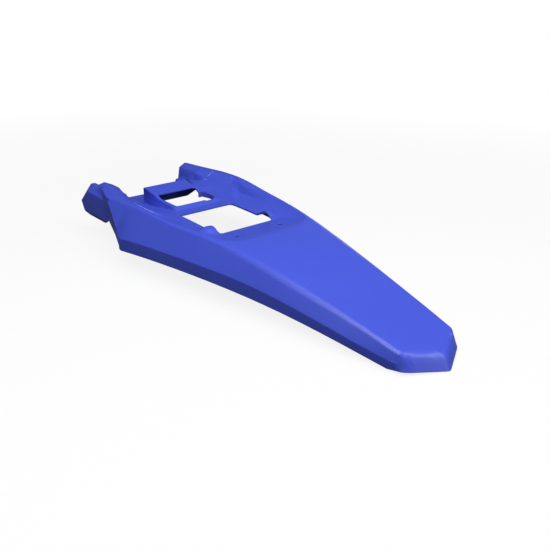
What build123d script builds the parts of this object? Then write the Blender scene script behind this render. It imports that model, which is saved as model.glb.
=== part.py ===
from build123d import *
from typing import NamedTuple
import math
import os

os.makedirs("parts", exist_ok=True)

# Rear fender of an off-road motorcycle, one injection-moulded sheet.
# X runs back to the tail, Y to the bike's right and Z up.
# The origin is midway between the two screw holes, on the seat plate.
# All sizes are in millimetres.

# Sheet
wall = 2.6
skirt_tuck = 1.5
shoulder_radius = 2.5
past = 12.0
above = 60.0
far = 500.0
seat_z = -3.0


class Station(NamedTuple):
    """One cross-section of the outer form: half widths across Y, heights along Z."""
    x: float
    crown: float
    crown_z: float
    ridge: float
    ridge_z: float
    ridge_radius: float
    shoulder: float
    shoulder_z: float
    skirt: float


# Outer form, from the front of the side panels to behind the tail
stations = [
    Station(-340, 77.0, 19.5, 104.0, 14.0, 5.0, 165.0, -31.0, 22.0),
    Station(-303, 80.4, 19.5, 106.3, 14.3, 5.0, 159.2, -30.0, 21.4),
    Station(-265, 83.9, 19.6, 108.6, 14.0, 5.5, 153.2, -29.0, 20.7),
    Station(-226, 87.5, 19.8, 111.0, 14.8, 6.0, 147.0, -28.0, 20.0),
    Station(-150, 97.0, 16.4, 105.8, 15.4, 6.0, 134.5, -24.6, 19.2),
    Station(-75, 90.5, 11.2, 97.8, 10.8, 6.0, 120.0, -22.3, 19.0),
    Station(6, 71.0, 8.6, 82.8, 8.6, 9.0, 103.2, -23.2, 18.8),
    Station(79, 58.0, 0.3, 71.8, 0.3, 14.0, 87.9, -26.9, 18.4),
    Station(170, 47.0, -16.9, 60.0, -16.9, 12.0, 72.3, -37.6, 14.4),
    Station(252, 39.0, -34.8, 50.0, -34.8, 7.0, 58.4, -50.6, 11.7),
    Station(330, 31.0, -53.0, 40.0, -53.0, 4.0, 45.5, -61.0, 11.0),
]


class Trough(NamedTuple):
    """One cross-section of the seat recess: floor, foot, knee and rim of its side."""
    x: float
    floor: float
    floor_z: float
    foot: float
    foot_z: float
    knee: float
    knee_z: float
    rim: float
    rim_z: float


# Steep-sided channel at the front of the seat recess
channel_troughs = [
    Trough(-350, 41.0, -15.0, 68.0, -6.6, 71.0, 13.0, 79.5, 19.3),
    Trough(-258, 41.0, -14.2, 68.0, -4.8, 71.0, 13.0, 86.0, 19.5),
    Trough(-226, 41.0, -13.4, 67.0, -2.4, 75.0, 10.0, 90.0, 19.5),
]

# Basin of the seat recess between the ridges
basin_troughs = [
    Trough(-228, 41.0, -13.4, 60.0, -1.0, 77.0, 8.0, 89.6, 19.4),
    Trough(-190, 43.0, -8.5, 60.0, -1.5, 79.0, 6.8, 97.5, 17.6),
    Trough(-150, 48.0, -4.0, 62.0, -2.5, 80.0, 5.0, 99.6, 16.1),
    Trough(-75, 50.0, -3.0, 63.0, -2.2, 77.0, 3.2, 92.4, 11.1),
    Trough(-25, 50.0, -2.2, 63.0, -1.2, 75.0, 3.0, 84.0, 9.2),
    Trough(6, 50.0, 1.9, 62.0, 2.2, 71.0, 3.8, 78.0, 8.4),
    Trough(80, 50.0, 4.0, 62.0, 4.2, 70.0, 5.0, 76.0, 8.6),
]
foot_round = 22.0
knee_round = 14.0

# Riser behind the recess: a shallow V whose rounded tip points back
riser_tip_x = 62.0
riser_tip_radius = 60.0
riser_end_x = 6.4
riser_end_half = 79.2
riser_top_z = 6.0
riser_slope = 27.0

# Tail end: a blunt V that leans back as it goes down
tail_tip_x = 317.0
tail_tip_z = -51.0
tail_sweep = 25.2
tail_lean = 24.0
tail_corner_half = 51.5
tail_corner_radius = 24.0
tail_tip_radius = 12.0
tail_flare = 20.0
tail_foot = [(280.0, 52.0, -65.9), (299.0, 46.0, -63.6), (321.5, 0.0, -68.3)]

# Large opening
main_front_x = -125.5
main_rear_x = -26.0
main_front_half = 46.8
main_rear_half = 47.3
main_corner = 6.0
main_shift = 1.0

# Bell-shaped humps over the rear corners of the large opening
hump_x = -43.5
hump_half = 52.5
hump_reach = 20.5
hump_height = 8.5
hump_crown_share = 0.6

# Raised frame with the small opening
frame_front_x = -236.8
frame_rear_x = -144.0
frame_half = 39.0
frame_front_z = 12.2
frame_slope = 8.2
frame_step_x = -204.0
frame_low_z = 2.6
frame_low_x = -192.0
hatch_front_x = -204.0
hatch_rear_x = -154.5
hatch_front_half = 34.6
hatch_rear_half = 31.0
hatch_corner = 4.0
hatch_lobe = [(-189.0, 20.0), (-150.8, 20.0), (-150.8, 33.0), (-160.8, 42.6), (-176.3, 42.6), (-189.0, 39.6)]
lobe_round = 7.0
lobe_foot_z = -6.6

# Bank between the frame's right side and the wing
class Bank(NamedTuple):
    """One cross-section of the bank: its rim on the frame and how far it reaches."""
    x: float
    rim_z: float
    reach: float
    reach_z: float
    foot_z: float


banks = [
    Bank(frame_front_x, frame_front_z, 72.0, 4.0, -16.0),
    Bank(-204, 7.6, 70.0, 1.6, -12.0),
    Bank(-192, 2.6, 67.0, -0.2, -11.0),
    Bank(-154.5, 0.4, 61.0, -2.2, -9.0),
    Bank(-144, -3.4, 58.0, -4.4, -8.0),
]

# Dent in each wing of the recess: outlines from its foot to its outer wall
dent_outlines = [
    (-185, [(56.0, -4.0), (86.0, 3.2), (94.6, 12.6)]),
    (-70, [(56.0, -1.0), (84.0, 7.4), (90.0, 14.0)]),
]
dent_wall_turn = 47.5
dent_front_x = -157.0
dent_front_half = 81.0
dent_front_z = 3.0
dent_turn = 43.0
dent_ramp = 55.0

# Screw holes and locating pin holes
screw_half = 37.7
screw_radius = 3.3
sink_radius = 6.6
sink_foot_z = 0.2
sink_depth = 1.6
boss_radius = 9.0
boss_depth = 7.0
pin_x = 9.5
pin_half = 35.5
pin_radius = 1.2

# Front of the side panels
cheek_top_x = -225.0
cheek_top_half = 111.0
cheek_top_z = 14.4
cheek_low_x = -158.5
cheek_low_half = 130.0
cheek_low_z = -38.0
cheek_turn = 17.5

# Front edges of the rails and of the seat plate, and lower edge ahead of the skirts
left_rail_x = -277.0
right_rail_x = -301.5
plate_front_x = -280.0
rail_inner_half = 62.0
skirt_front_x = -157.4
skirt_front_z = -39.0
cheek_foot_x = -177.0
cheek_foot_z = -30.0
rail_foot_x = -236.0
rail_foot_z = -20.0

# Arm on the left rail, a channel open towards the bike's middle
arm_root_x = -205.0
arm_face_half = 106.0
arm_inner_half = 86.0
arm_top_z = 11.5
arm_edge_z = 4.0
arm_foot_z = -41.0
arm_turn_z = -32.0
arm_turn = 8.0
arm_round = 6.0
frame_round = 2.0
arm_shelf = 5.0
arm_root_foot_z = -16.0
arm_profile = [(-259.5, arm_foot_z, 6.0), (-306.0, arm_foot_z, 12.0), (-320.0, -15.0, 12.0),
               (-317.0, arm_top_z, 14.0)]
arm_bevel = [(-318.0, -106.0, -16.0), (-294.0, -106.0, 2.5), (-324.0, -88.0, 3.0)]


def spread(points, insets):
    """Move each edge of an anticlockwise outline inwards by its own inset."""
    lines = []
    for (ax, ay), (bx, by), inset in zip(points, points[1:] + points[:1], insets):
        length = math.hypot(bx - ax, by - ay)
        dx, dy = (bx - ax) / length, (by - ay) / length
        lines.append((ax - dy * inset, ay + dx * inset, dx, dy))
    corners = []
    for (px, py, pdx, pdy), (qx, qy, qdx, qdy) in zip(lines[-1:] + lines[:-1], lines):
        cross = pdx * qdy - pdy * qdx
        if abs(cross) < 1e-6:
            corners.append((qx, qy))
            continue
        t = ((qx - px) * qdy - (qy - py) * qdx) / cross
        corners.append((px + pdx * t, py + pdy * t))
    return corners


def across(x):
    """Plane of a cross-section, its own axes along Y and Z."""
    return Plane(origin=(x, 0, 0), x_dir=(0, 1, 0), z_dir=(1, 0, 0))


def level(z):
    """Horizontal plane at a height."""
    return Plane.XY.offset(z)


def rounded(points, radii):
    """Closed face with an arc at each corner that has a radius."""
    face = make_face(Polyline(*points, close=True))
    for point, radius in zip(points, radii):
        if radius > 0:
            corner = min(face.vertices(), key=lambda v: (v.X - point[0]) ** 2 + (v.Y - point[1]) ** 2)
            face = fillet(corner, radius)
    return face


def tan(angle):
    return math.tan(math.radians(angle))


def cos(angle):
    return math.cos(math.radians(angle))


def sin(angle):
    return math.sin(math.radians(angle))


def body(inset):
    """Filled outer form, or the hollow under it when inset is the sheet's thickness."""
    sections = []
    for s in stations:
        right = [(s.shoulder - skirt_tuck, s.shoulder_z - s.skirt), (s.shoulder, s.shoulder_z),
                 (s.ridge, s.ridge_z), (s.crown, s.crown_z)]
        outline = right + [(-y, z) for y, z in reversed(right)]
        below = -past if inset else 0.0
        corners = spread(outline, [inset] * 7 + [below])
        shoulder_r = max(shoulder_radius - inset, 0.6)
        ridge_r = max(s.ridge_radius - inset, 1.0)
        radii = [0, shoulder_r, ridge_r, 0, 0, ridge_r, shoulder_r, 0]
        sections.append(across(s.x) * rounded(corners, radii))
    return loft(sections)


def hollowed(troughs, grow, smooth):
    """Loft of recess sections, each grown outwards, with its foot and knee rounded if smooth."""
    sections = []
    for t in troughs:
        reach = t.knee + (above - t.knee_z) * (t.rim - t.knee) / (t.rim_z - t.knee_z)
        right = [(t.floor, t.floor_z), (t.foot, t.foot_z), (t.knee, t.knee_z), (reach, above)]
        outline = right + [(-y, z) for y, z in reversed(right)]
        corners = spread(outline, [-grow, -grow, -grow, 0.0, -grow, -grow, -grow, -grow])
        bends = [0.0, foot_round + grow, knee_round + grow, 0.0] if smooth else [0.0] * 4
        sections.append(across(t.x) * rounded(corners, bends + bends[::-1]))
    return loft(sections, ruled=not smooth)


def recess(grow):
    """Seat recess, cut off behind by the V-shaped riser."""
    hole = hollowed(channel_troughs, grow, False) + hollowed(basin_troughs, grow, True)
    sweep = math.degrees(math.atan2(riser_tip_x - riser_end_x, riser_end_half))
    layers = []
    for z in (-above, above):
        shift = (z - riser_top_z) / tan(riser_slope) + grow / sin(riser_slope)
        tip = riser_tip_x + shift / cos(sweep)
        wing = tip - far * tan(sweep)
        outline = [(tip, 0), (wing, far), (-far, far), (-far, -far), (wing, -far)]
        layers.append(level(z) * rounded(outline, [riser_tip_radius, 0, 0, 0, 0]))
    return hole & loft(layers, ruled=True)


def tail_end(inset):
    """What lies ahead of the tail's V-shaped end and its rounded corners."""
    half = tail_corner_half - inset
    layers = []
    for z in (-above - far, above):
        shift = (tail_tip_z - z) * tan(tail_lean) - inset / cos(tail_lean) / cos(tail_sweep)
        tip = tail_tip_x + shift
        corner = tip - half * tan(tail_sweep)
        outline = [(tip, 0), (corner, half), (corner - tail_flare, half + 0.12 * tail_flare),
                   (-far, far), (-far, -far),
                   (corner - tail_flare, -half - 0.12 * tail_flare), (corner, -half)]
        radius = tail_corner_radius - inset
        layers.append(level(z) * rounded(outline, [tail_tip_radius, radius, 0, 0, 0, 0, radius]))
    return loft(layers, ruled=True)


def cheek(side, inset):
    """What lies outside the cheek, the turned-in front of a side panel."""
    top = Vector(cheek_top_x, side * cheek_top_half, cheek_top_z)
    low = Vector(cheek_low_x, side * cheek_low_half, cheek_low_z)
    forward = Vector(-cos(cheek_turn), -side * sin(cheek_turn), 0)
    outward = (low - top).cross(forward).normalized()
    if outward.Y * side < 0:
        outward = outward * -1
    origin = top - outward * inset
    face = Plane(origin=origin, x_dir=forward, z_dir=outward)
    return face * Box(4 * far, 4 * far, far, align=(Align.CENTER, Align.CENTER, Align.MIN))


def frame(inset):
    """Raised frame around the small opening, low along its sides."""
    z0 = -far if inset else channel_troughs[0].floor_z - wall
    high = frame_front_z - (frame_step_x - frame_front_x) * tan(frame_slope)
    profile = [(frame_front_x, z0), (frame_rear_x, z0), (frame_rear_x, -3.4), (hatch_rear_x + 3, 0.6),
               (hatch_rear_x, 0.4), (frame_low_x, frame_low_z), (frame_step_x, high),
               (frame_front_x, frame_front_z)]
    insets = [0.0] + [inset] * 7
    side = make_face(Polyline(*spread(profile, insets), close=True))
    box = extrude(Plane.XZ * side, frame_half - inset, both=True)
    if inset:
        return box
    sharp = [e for e in box.edges() if e.center().X < frame_step_x and e.center().Z > 0]
    return fillet(sharp, frame_round)


def bank(inset):
    """Bank that joins the frame's right side to the wing of the recess."""
    sections = []
    for b in banks:
        foot = -far if inset else b.foot_z
        inner = frame_half - 2 * wall - (past if inset else 0.0)
        outline = [(inner, foot), (b.reach, foot), (b.reach, b.reach_z), (frame_half, b.rim_z),
                   (inner, b.rim_z)]
        corners = spread(outline, [0.0, inset, inset, inset, 0.0])
        shift = inset if b is banks[0] else (-inset if b is banks[-1] else 0.0)
        sections.append(across(b.x + shift) * make_face(Polyline(*corners, close=True)))
    return loft(sections, ruled=True)


def hump(side, inset):
    """Bell-shaped hump over a rear corner of the large opening."""
    turn = 2 * math.degrees(math.atan2(hump_height, hump_reach))
    total = hump_reach / sin(turn)
    crown = hump_crown_share * total
    waist = (crown * sin(turn), hump_height - crown * (1 - cos(turn)))
    half = ((crown * sin(turn / 2)), hump_height - crown * (1 - cos(turn / 2)))
    flare = total - crown
    low = (hump_reach - flare * sin(turn / 2), flare * (1 - cos(turn / 2)))
    edges = [ThreePointArc((0, hump_height), half, waist), ThreePointArc(waist, low, (hump_reach, 0)),
             Line((hump_reach, 0), (hump_reach, -past)), Line((hump_reach, -past), (0, -past)),
             Line((0, -past), (0, hump_height))]
    bell = revolve(Plane.XZ * make_face(edges), Axis.Z)
    return Pos(hump_x, side * hump_half, seat_z - inset) * bell


def dent(side, grow):
    """Dent in a wing of the recess, with a ramp across its front, running out behind."""
    sections = []
    for x, outline in dent_outlines:
        top = (outline[-1][0] + (above - outline[-1][1]) / tan(dent_wall_turn), above)
        corners = spread([*outline, top, (outline[0][0], above)], [-grow, -grow, -grow, 0.0, 0.0])
        ring = [(side * y, z) for y, z in corners]
        sections.append(across(x) * make_face(Polyline(*ring, close=True)))
    wedge = loft(sections, ruled=True)
    origin = Vector(dent_front_x, side * dent_front_half, dent_front_z)
    along = Vector(-cos(dent_turn), side * sin(dent_turn), 0)
    rearward = Vector(sin(dent_turn), side * cos(dent_turn), 0)
    outward = rearward * sin(dent_ramp) + Vector(0, 0, cos(dent_ramp))
    face = Plane(origin=origin - outward * grow, x_dir=along, z_dir=outward)
    return wedge & (face * Box(far, far, far, align=(Align.CENTER, Align.CENTER, Align.MIN)))


def form(inset):
    """The whole filled form, or the hollow that leaves the sheet when cut from it."""
    filled = body(inset) - recess(inset)
    filled = filled & tail_end(inset)
    filled = filled + frame(inset) + bank(inset) + hump(1, inset) + hump(-1, inset)
    filled = filled - dent(1, inset) - dent(-1, inset)
    filled = filled - cheek(1, inset) - cheek(-1, inset)
    return filled


def lobe(grow):
    """Outline of the rounded lobe at the small opening's right rear corner."""
    bend = lobe_round + grow
    return rounded(spread(hatch_lobe, [-grow] * 6), [0, 0, bend, bend, bend, 0])


def hatch():
    """Small opening with the rounded lobe at its right rear corner."""
    outline = [(hatch_front_x, -hatch_front_half), (hatch_rear_x, -hatch_rear_half),
               (hatch_rear_x, hatch_rear_half), (hatch_front_x, hatch_front_half)]
    mouth = rounded(outline, [hatch_corner] * 4) + lobe(0)
    return level(-above) * extrude(mouth, 2 * above)


def main_opening():
    """Large opening in the seat plate."""
    outline = [(main_front_x, -main_front_half), (main_rear_x, -main_rear_half),
               (main_rear_x, main_rear_half), (main_front_x, main_front_half)]
    mouth = rounded(outline, [1.5, main_corner, main_corner, main_corner])
    return Pos(0, main_shift, -above) * extrude(mouth, 2 * above)


def screw_hole(side):
    """Screw hole with a conical lead-in, and the small pin hole behind it."""
    y = side * screw_half
    bore = Pos(0, y, 0) * Cylinder(screw_radius, 4 * boss_depth)
    sink = Pos(0, y, sink_foot_z + sink_depth / 2) * Cone(screw_radius, sink_radius, sink_depth)
    mouth = Pos(0, y, sink_foot_z + sink_depth) * Cylinder(
        sink_radius, boss_depth, align=(Align.CENTER, Align.CENTER, Align.MIN))
    pin = Pos(pin_x, side * pin_half, 0) * Cylinder(pin_radius, 4 * boss_depth)
    return bore + sink + mouth + pin


def block(x0, x1, y0, y1, z0, z1):
    """Plain block between two corners."""
    return Pos((x0 + x1) / 2, (y0 + y1) / 2, (z0 + z1) / 2) * Box(x1 - x0, y1 - y0, z1 - z0)


def front_trim():
    """What is cut away ahead of the rails and plate, and below the cheeks."""
    profile = [(-far, -far), (skirt_front_x, -far), (skirt_front_x, skirt_front_z),
               (cheek_foot_x, cheek_foot_z), (rail_foot_x, rail_foot_z), (-far, rail_foot_z)]
    low = extrude(Plane.XZ * make_face(Polyline(*profile, close=True)), far, both=True)
    left = block(-far, left_rail_x, -far, -rail_inner_half, -far, far)
    right = block(-far, right_rail_x, rail_inner_half, far, -far, far)
    plate = block(-far, plate_front_x, -rail_inner_half, rail_inner_half, -far, far)
    return low + left + right + plate


def arm(inset):
    """Arm on the left rail, filled, or its hollow when inset is the sheet's thickness."""
    inner = arm_inner_half - (past if inset else 0.0)
    outline = [(-arm_face_half, arm_edge_z), (-arm_face_half, arm_turn_z),
               (-arm_face_half + arm_turn, arm_foot_z), (-inner, arm_foot_z), (-inner, arm_top_z),
               (-arm_inner_half - arm_shelf, arm_top_z)]
    bend = arm_round - inset
    section = rounded(spread(outline, [inset, inset, inset, 0.0, inset, inset]), [bend, bend, bend, 0, 0, bend])
    bar = across(arm_root_x - far) * extrude(section, far)
    ends = [(arm_root_x, arm_root_foot_z, 0.0), *arm_profile, (arm_root_x, arm_top_z, 0.0)]
    points = [(x, z) for x, z, radius in ends][::-1]
    radii = [max(radius - inset, 0.0) for x, z, radius in ends][::-1]
    corners = spread(points, [inset, inset, inset, inset, inset, 0.0])
    side = Plane.XZ * rounded(corners, radii)
    return (bar & extrude(side, far, both=True)) - beyond(arm_bevel, inset, 1)


def beyond(points, inset, rise):
    """What lies beyond the plane through three points, above it where rise is 1, below where it is -1."""
    first, second, third = [Vector(*point) for point in points]
    outward = (second - first).cross(third - first).normalized()
    if outward.Z * rise < 0:
        outward = outward * -1
    face = Plane(origin=first - outward * inset, x_dir=second - first, z_dir=outward)
    return face * Box(2 * far, 2 * far, far, align=(Align.CENTER, Align.CENTER, Align.MIN))


def below_tail(side):
    """What lies below the sloping foot of the tail end."""
    return beyond([(x, side * y, z) for x, y, z in tail_foot], 0, -1)


def underside_stock():
    """Screw bosses and the lobe's collar, before they are trimmed to the outer form."""
    stock = level(lobe_foot_z) * extrude(lobe(wall), far)
    for side in (1, -1):
        stock += Pos(0, side * screw_half, -boss_depth) * Cylinder(
            boss_radius, far, align=(Align.CENTER, Align.CENTER, Align.MIN))
    return stock


solid = form(0)
shell = solid - form(wall)
shell = shell + (underside_stock() & solid)
lug = arm(0) - arm(wall) - form(wall)
shell = shell - front_trim() - below_tail(1) - below_tail(-1) + lug
rear_fender = shell - hatch() - main_opening() - screw_hole(1) - screw_hole(-1)
export_step(rear_fender, "parts/rear_fender.step")
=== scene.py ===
import math

import bmesh
import bpy
from mathutils import Matrix, Vector
from mathutils.bvhtree import BVHTree


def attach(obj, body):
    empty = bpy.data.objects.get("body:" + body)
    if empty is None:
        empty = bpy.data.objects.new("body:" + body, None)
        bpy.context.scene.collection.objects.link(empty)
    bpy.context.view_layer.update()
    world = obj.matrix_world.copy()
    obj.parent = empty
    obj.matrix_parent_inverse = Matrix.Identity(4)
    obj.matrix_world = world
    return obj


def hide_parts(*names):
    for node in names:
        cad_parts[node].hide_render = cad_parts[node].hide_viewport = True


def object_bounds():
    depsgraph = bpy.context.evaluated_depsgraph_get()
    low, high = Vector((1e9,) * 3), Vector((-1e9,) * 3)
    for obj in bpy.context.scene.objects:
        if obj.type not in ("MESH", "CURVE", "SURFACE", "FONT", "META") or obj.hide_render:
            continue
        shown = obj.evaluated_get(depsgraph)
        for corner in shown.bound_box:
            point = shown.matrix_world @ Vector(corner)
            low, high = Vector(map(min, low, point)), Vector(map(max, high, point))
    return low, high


# Camera: place, lens and the directions of the picture's right and down sides
CAMERA_PLACE = Vector((0.6558, -0.5502, 0.3157))
PICTURE_RIGHT = Vector((0.6570, 0.7536, 0.0189))
PICTURE_DOWN = Vector((0.3189, -0.2551, -0.9128))
LENS = 43.46
SENSOR = 36.0
NEAREST_SEEN = 0.01

# Moulded sheet
MERGE_GAP = 0.00002
SMOOTH_ANGLE = 0.42
LEVEL_ENOUGH = 0.05

# Plastic: colours, gloss, fine grain and edge rounding
PLASTIC_BLUE = (0.064, 0.102, 0.67, 1.0)
PLASTIC_DEEP = (0.054, 0.088, 0.61, 1.0)
PLASTIC_IOR = 1.49
GLOSS_SMOOTH = 0.29
GLOSS_ROUGH = 0.41
GRAIN_SCALE = 1400.0
GRAIN_DETAIL = 4.0
GRAIN_ROUGHNESS = 0.6
GRAIN_STRENGTH = 0.12
GRAIN_HEIGHT = 0.0002
DRIFT_SCALE = 9.0
DRIFT_DETAIL = 3.0
EDGE_ROUND = 0.0012
EDGE_SAMPLES = 6

# Parts of the upper side whose folds run out softly: from x, to x, from y, to y, reach
SOFT_PARTS = [
    (-0.252, -0.196, 0.050, 0.112, 0.006),
    (-0.252, -0.196, -0.112, -0.050, 0.006),
    (-0.080, -0.008, 0.026, 0.088, 0.007),
    (-0.080, -0.008, -0.088, -0.026, 0.007),
    (-0.004, 0.080, -0.076, 0.076, 0.009),
]
# Longest edge after dividing, most rounds of it, and how far from a part's border the reach is full
SOFT_STEP = 0.0032
SOFT_ROUNDS = 7
SOFT_FADE = 0.014
# Rings of points round a place, as shares of the reach, with the pairs of points on each ring
SOFT_RINGS = (0.3, 0.55, 0.8, 1.0)
RING_PAIRS = 6
# Steepest slope that still counts as the same surface, with some slack, and a height above the part
STEEPEST = 1.6
HEIGHT_SLACK = 0.0005
ABOVE_PART = 0.1

# Dent in each wing: place of its front edge, its ends, and where its floor starts and its wall stands
DENT_FRONT = Vector((-0.160, 0.080))
DENT_ACROSS = Vector((0.68, 0.73))
DENT_DEPTH = 0.0036
DENT_RAMP = 0.011
DENT_ENDS = (-0.120, -0.072)
DENT_INNER = (0.058, 0.072)
DENT_WALL = (0.084, 0.093)
DENT_FROM = -0.19
DENT_DIVIDED_FROM = -0.175

# Tail end, whose corners are rounded off
TAIL_FROM = 0.262
TAIL_FULL = 0.300
TAIL_PAST = 1.0
TAIL_CENTRE = Vector((0.20, 0.0, -0.13))
TAIL_TURNS = 26
TAIL_FACTOR = 0.5

# Floor and world: size, tone to the camera, tone to the part, and the glow that hides the floor's edge
FLOOR_SIZE = 60.0
FLOOR_SEEN = 0.80
FLOOR_BOUNCE = 0.08
FLOOR_ROUGHNESS = 0.9
GLOW_NEAR = 0.86
GLOW_FROM = 0.5
GLOW_FULL = 1.4
WORLD_LIGHT = 0.06

# Lamps: name, place, size and watts
LAMPS = [
    ("overhead lamp", (0.3, -0.1, 1.2), 1.0, 10.5),
    ("high tail lamp", (1.2, 0.6, 1.0), 0.8, 9.2),
    ("high near lamp", (0.3, -0.9, 1.1), 0.7, 9.2),
    ("low tail lamp", (1.5, 0.4, 0.1), 0.8, 3.4),
    ("far lamp", (-0.75, 1.15, 0.05), 0.5, 1.2),
]


def clear_selection():
    """Leaves no object selected."""
    bpy.ops.object.select_all(action="DESELECT")


def make_active(piece):
    """Selects one object and makes it the active one."""
    clear_selection()
    piece.select_set(True)
    bpy.context.view_layer.objects.active = piece


def upward(face):
    """True for a face of the sheet's upper side."""
    return face.normal.z > LEVEL_ENOUGH


def not_upright(face):
    """True for a face of the upper side or the underside."""
    return abs(face.normal.z) > LEVEL_ENOUGH


def outer(face):
    """True for a face on the outside of the tail end."""
    return face.normal.dot(face.calc_center_median() - TAIL_CENTRE) > 0.0


def eased(value, start, end):
    """Goes smoothly from 0 at the start to 1 at the end."""
    share = min(max((value - start) / (end - start), 0.0), 1.0)
    return share * share * (3.0 - 2.0 * share)


def divide_part(mesh, x0, x1, y0, y1, wanted):
    """Divides the wanted faces within one part of the sheet until no edge is long."""
    for turn in range(SOFT_ROUNDS):
        long_edges = []
        for edge in mesh.edges:
            a, b = edge.verts[0].co, edge.verts[1].co
            if max(a.x, b.x) > x0 and min(a.x, b.x) < x1 and max(a.y, b.y) > y0 and min(a.y, b.y) < y1:
                if (a - b).length > SOFT_STEP and any(wanted(face) for face in edge.link_faces):
                    long_edges.append(edge)
        if not long_edges:
            return
        bmesh.ops.subdivide_edges(mesh, edges=long_edges, cuts=1)
        wide = [face for face in mesh.faces if len(face.verts) > 3]
        bmesh.ops.triangulate(mesh, faces=wide)
        mesh.normal_update()


def press_dents(mesh):
    """Presses a long dent into each wing of the recess, through the whole sheet."""
    for side in (1.0, -1.0):
        y0, y1 = sorted((side * DENT_INNER[0], side * DENT_WALL[1]))
        divide_part(mesh, DENT_DIVIDED_FROM, DENT_ENDS[1], y0, y1, not_upright)
        for corner in mesh.verts:
            x, y = corner.co.x, corner.co.y * side
            if DENT_INNER[0] < y < DENT_WALL[1] and DENT_FROM < x < DENT_ENDS[1]:
                behind = (Vector((x, y)) - DENT_FRONT).dot(DENT_ACROSS)
                along = eased(behind, 0.0, DENT_RAMP) * (1.0 - eased(x, *DENT_ENDS))
                across = eased(y, *DENT_INNER) * (1.0 - eased(y, *DENT_WALL))
                corner.co.z -= DENT_DEPTH * along * across


def round_tail(mesh):
    """Rounds off the corners of the tail end, with its lower rim kept in place."""
    divide_part(mesh, TAIL_FROM, TAIL_PAST, -TAIL_PAST, TAIL_PAST, outer)
    free = []
    for corner in mesh.verts:
        if corner.co.x > TAIL_FROM + SOFT_STEP and all(outer(face) for face in corner.link_faces):
            free.append(corner)
    places = [corner.co.copy() for corner in free]
    axes = {"use_axis_x": True, "use_axis_y": True, "use_axis_z": True}
    for turn in range(TAIL_TURNS):
        bmesh.ops.smooth_vert(mesh, verts=free, factor=TAIL_FACTOR, **axes)
    for corner, place in zip(free, places):
        corner.co = place.lerp(corner.co, eased(place.x, TAIL_FROM, TAIL_FULL))


def soft_height(tree, place, reach):
    """Mean height of the upper side round a place, from pairs of points on opposite sides."""
    total, count = place.z, 1
    for ring in SOFT_RINGS:
        for turn in range(RING_PAIRS):
            angle = math.pi * turn / RING_PAIRS
            step = Vector((math.cos(angle), math.sin(angle), 0.0)) * reach * ring
            heights = []
            for spot in (place + step, place - step):
                start = Vector((spot.x, spot.y, ABOVE_PART))
                hit = tree.ray_cast(start, Vector((0.0, 0.0, -1.0)))[0]
                if hit and abs(hit.z - place.z) < STEEPEST * step.length + HEIGHT_SLACK:
                    heights.append(hit.z)
            if len(heights) == 2:
                total += sum(heights)
                count += 2
    return total / count


def soften_part(mesh, x0, x1, y0, y1, reach):
    """Rounds the folds within one part of the upper side, with its rims kept in place."""
    divide_part(mesh, x0, x1, y0, y1, upward)
    tree = BVHTree.FromBMesh(mesh)
    moved = []
    for corner in mesh.verts:
        place = corner.co
        inside = min(place.x - x0, x1 - place.x, place.y - y0, y1 - place.y)
        if inside > 0 and all(upward(face) for face in corner.link_faces):
            share = min(inside / SOFT_FADE, 1.0)
            moved.append((corner, soft_height(tree, place, reach * share)))
    for corner, height in moved:
        corner.co.z = height


def soften_folds(sheet):
    """Presses the dents and rounds the tail end, the recess's folds, its humps and its riser."""
    mesh = bmesh.new()
    mesh.from_mesh(sheet.data)
    press_dents(mesh)
    round_tail(mesh)
    for part in SOFT_PARTS:
        soften_part(mesh, *part)
    mesh.to_mesh(sheet.data)
    mesh.free()


def moulded_sheet(node):
    """Copy of the fender's solid with its loose triangles merged and its folds softened."""
    make_active(node)
    bpy.ops.object.duplicate(linked=False)
    sheet = bpy.context.active_object
    sheet.name = "moulded_sheet"
    for key in list(sheet.keys()):
        del sheet[key]
    sheet.parent = None
    bpy.ops.object.mode_set(mode="EDIT")
    bpy.ops.mesh.select_all(action="SELECT")
    bpy.ops.mesh.remove_doubles(threshold=MERGE_GAP)
    bpy.ops.object.mode_set(mode="OBJECT")
    soften_folds(sheet)
    bpy.ops.object.shade_smooth_by_angle(angle=SMOOTH_ANGLE)
    even = sheet.modifiers.new("even shading", "WEIGHTED_NORMAL")
    even.mode = "FACE_AREA"
    even.weight = 100
    even.keep_sharp = True
    bpy.ops.object.modifier_apply(modifier=even.name)
    return sheet


def grain_group():
    """Node group: fine moulded grain and slow drifts of tone over the sheet."""
    group = bpy.data.node_groups.new("moulded grain", "ShaderNodeTree")
    side = group.interface.new_socket
    side(name="Grain Scale", in_out="INPUT", socket_type="NodeSocketFloat")
    side(name="Drift Scale", in_out="INPUT", socket_type="NodeSocketFloat")
    side(name="Drift", in_out="OUTPUT", socket_type="NodeSocketFloat")
    side(name="Grain", in_out="OUTPUT", socket_type="NodeSocketFloat")
    nodes, links = group.nodes, group.links
    entry = nodes.new("NodeGroupInput")
    leave = nodes.new("NodeGroupOutput")
    place = nodes.new("ShaderNodeTexCoord")
    grain = nodes.new("ShaderNodeTexNoise")
    grain.inputs["Detail"].default_value = GRAIN_DETAIL
    grain.inputs["Roughness"].default_value = GRAIN_ROUGHNESS
    drift = nodes.new("ShaderNodeTexNoise")
    drift.inputs["Detail"].default_value = DRIFT_DETAIL
    for name, noise in (("Grain", grain), ("Drift", drift)):
        links.new(place.outputs["Object"], noise.inputs["Vector"])
        links.new(entry.outputs[name + " Scale"], noise.inputs["Scale"])
        links.new(noise.outputs["Fac"], leave.inputs[name])
    return group


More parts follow.
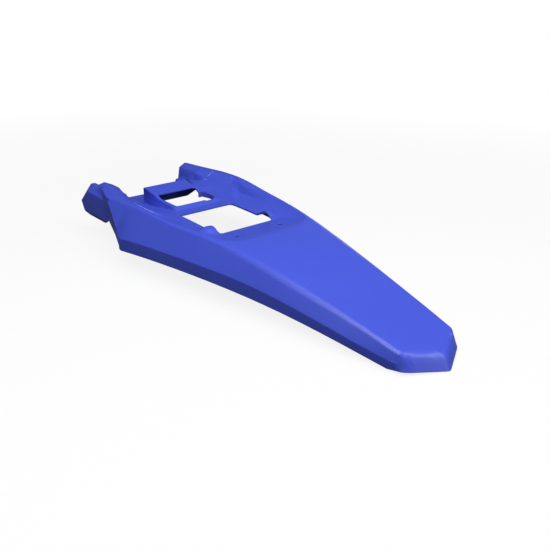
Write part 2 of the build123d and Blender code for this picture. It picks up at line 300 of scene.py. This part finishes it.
def moulded_plastic(grain):
    """Blue plastic coloured through, with a satin gloss and a barely visible grain."""
    material = bpy.data.materials.new("moulded blue plastic")
    material.use_nodes = True
    nodes, links = material.node_tree.nodes, material.node_tree.links
    shader = nodes["Principled BSDF"]
    shader.inputs["IOR"].default_value = PLASTIC_IOR
    surface = nodes.new("ShaderNodeGroup")
    surface.node_tree = grain
    surface.inputs["Grain Scale"].default_value = GRAIN_SCALE
    surface.inputs["Drift Scale"].default_value = DRIFT_SCALE
    tone = nodes.new("ShaderNodeMix")
    tone.data_type = "RGBA"
    tone.inputs["A"].default_value = PLASTIC_DEEP
    tone.inputs["B"].default_value = PLASTIC_BLUE
    links.new(surface.outputs["Drift"], tone.inputs["Factor"])
    links.new(tone.outputs["Result"], shader.inputs["Base Color"])
    gloss = nodes.new("ShaderNodeMapRange")
    gloss.inputs["To Min"].default_value = GLOSS_SMOOTH
    gloss.inputs["To Max"].default_value = GLOSS_ROUGH
    links.new(surface.outputs["Grain"], gloss.inputs["Value"])
    links.new(gloss.outputs["Result"], shader.inputs["Roughness"])
    edges = nodes.new("ShaderNodeBevel")
    edges.samples = EDGE_SAMPLES
    edges.inputs["Radius"].default_value = EDGE_ROUND
    bump = nodes.new("ShaderNodeBump")
    bump.inputs["Strength"].default_value = GRAIN_STRENGTH
    bump.inputs["Distance"].default_value = GRAIN_HEIGHT
    links.new(edges.outputs["Normal"], bump.inputs["Normal"])
    links.new(surface.outputs["Grain"], bump.inputs["Height"])
    links.new(bump.outputs["Normal"], shader.inputs["Normal"])
    return material


def background_rays(nodes, links):
    """Output that is 1 for the rays that show the background: from the camera or through glass."""
    rays = nodes.new("ShaderNodeLightPath")
    shown = nodes.new("ShaderNodeMath")
    shown.operation = "MAXIMUM"
    links.new(rays.outputs["Is Camera Ray"], shown.inputs[0])
    links.new(rays.outputs["Is Transmission Ray"], shown.inputs[1])
    return shown.outputs["Value"]


def grey(level):
    """Opaque grey of one level."""
    return (level, level, level, 1.0)


def studio_floor(level):
    """Pale floor under the part, white to the camera and keeping the part's shadow."""
    clear_selection()
    bpy.ops.mesh.primitive_plane_add(size=FLOOR_SIZE, location=(0.0, 0.0, level))
    floor = bpy.context.active_object
    floor.name = "studio_floor"
    material = bpy.data.materials.new("studio floor")
    material.use_nodes = True
    nodes, links = material.node_tree.nodes, material.node_tree.links
    shader = nodes["Principled BSDF"]
    shader.inputs["Roughness"].default_value = FLOOR_ROUGHNESS
    shown = background_rays(nodes, links)
    tone = nodes.new("ShaderNodeMix")
    tone.data_type = "RGBA"
    tone.inputs["A"].default_value = grey(FLOOR_BOUNCE)
    tone.inputs["B"].default_value = grey(FLOOR_SEEN)
    links.new(shown, tone.inputs["Factor"])
    links.new(tone.outputs["Result"], shader.inputs["Base Color"])
    glow = nodes.new("ShaderNodeEmission")
    glow.inputs["Strength"].default_value = 1.0
    blend = nodes.new("ShaderNodeMixShader")
    place = nodes.new("ShaderNodeTexCoord")
    away = nodes.new("ShaderNodeVectorMath")
    away.operation = "LENGTH"
    fade = nodes.new("ShaderNodeMapRange")
    fade.inputs["From Min"].default_value = GLOW_FROM
    fade.inputs["From Max"].default_value = GLOW_FULL
    fade.inputs["To Min"].default_value = GLOW_NEAR
    share = nodes.new("ShaderNodeMath")
    share.operation = "MULTIPLY"
    links.new(place.outputs["Object"], away.inputs[0])
    links.new(away.outputs["Value"], fade.inputs["Value"])
    links.new(shown, share.inputs[0])
    links.new(fade.outputs["Result"], share.inputs[1])
    links.new(share.outputs["Value"], blend.inputs["Fac"])
    links.new(shader.outputs["BSDF"], blend.inputs[1])
    links.new(glow.outputs["Emission"], blend.inputs[2])
    links.new(blend.outputs["Shader"], nodes["Material Output"].inputs["Surface"])
    floor.data.materials.append(material)


def studio_world():
    """Even pale surroundings, white to the camera."""
    world = bpy.data.worlds.new("studio world")
    bpy.context.scene.world = world
    world.use_nodes = True
    nodes, links = world.node_tree.nodes, world.node_tree.links
    back = nodes["Background"]
    back.inputs["Color"].default_value = grey(1.0)
    level = nodes.new("ShaderNodeMapRange")
    level.inputs["To Min"].default_value = WORLD_LIGHT
    level.inputs["To Max"].default_value = 1.0
    links.new(background_rays(nodes, links), level.inputs["Value"])
    links.new(level.outputs["Result"], back.inputs["Strength"])


def soft_lamp(name, place, size, watts):
    """Square studio lamp that faces the part."""
    light = bpy.data.lights.new(name, "AREA")
    light.shape = "SQUARE"
    light.size = size
    light.energy = watts
    lamp = bpy.data.objects.new(name, light)
    bpy.context.scene.collection.objects.link(lamp)
    lamp.location = place
    lamp.rotation_euler = (-Vector(place)).to_track_quat("-Z", "Y").to_euler()


def studio_camera():
    """Camera at the photograph's angle."""
    data = bpy.data.cameras.new("camera")
    data.lens = LENS
    data.sensor_width = SENSOR
    data.clip_start = NEAREST_SEEN
    camera = bpy.data.objects.new("camera", data)
    bpy.context.scene.collection.objects.link(camera)
    right = PICTURE_RIGHT.normalized()
    back = right.cross(-PICTURE_DOWN).normalized()
    up = back.cross(right)
    turn = Matrix((right, up, back)).transposed().to_4x4()
    camera.matrix_world = Matrix.Translation(CAMERA_PLACE) @ turn
    bpy.context.scene.camera = camera


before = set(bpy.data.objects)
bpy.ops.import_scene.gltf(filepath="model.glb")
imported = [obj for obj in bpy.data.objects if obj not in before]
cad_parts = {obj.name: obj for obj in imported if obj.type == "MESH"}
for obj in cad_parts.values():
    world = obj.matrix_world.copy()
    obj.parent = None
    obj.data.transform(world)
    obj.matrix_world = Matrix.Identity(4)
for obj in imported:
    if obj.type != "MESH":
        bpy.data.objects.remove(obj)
cad_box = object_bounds()

sheet = moulded_sheet(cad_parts["rear_fender"])
sheet.data.materials.clear()
sheet.data.materials.append(moulded_plastic(grain_group()))
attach(sheet, "root")
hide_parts("rear_fender")

bpy.context.scene.view_settings.view_transform = "Standard"
studio_floor(cad_box[0][2])
studio_world()
for lamp in LAMPS:
    soft_lamp(*lamp)
studio_camera()
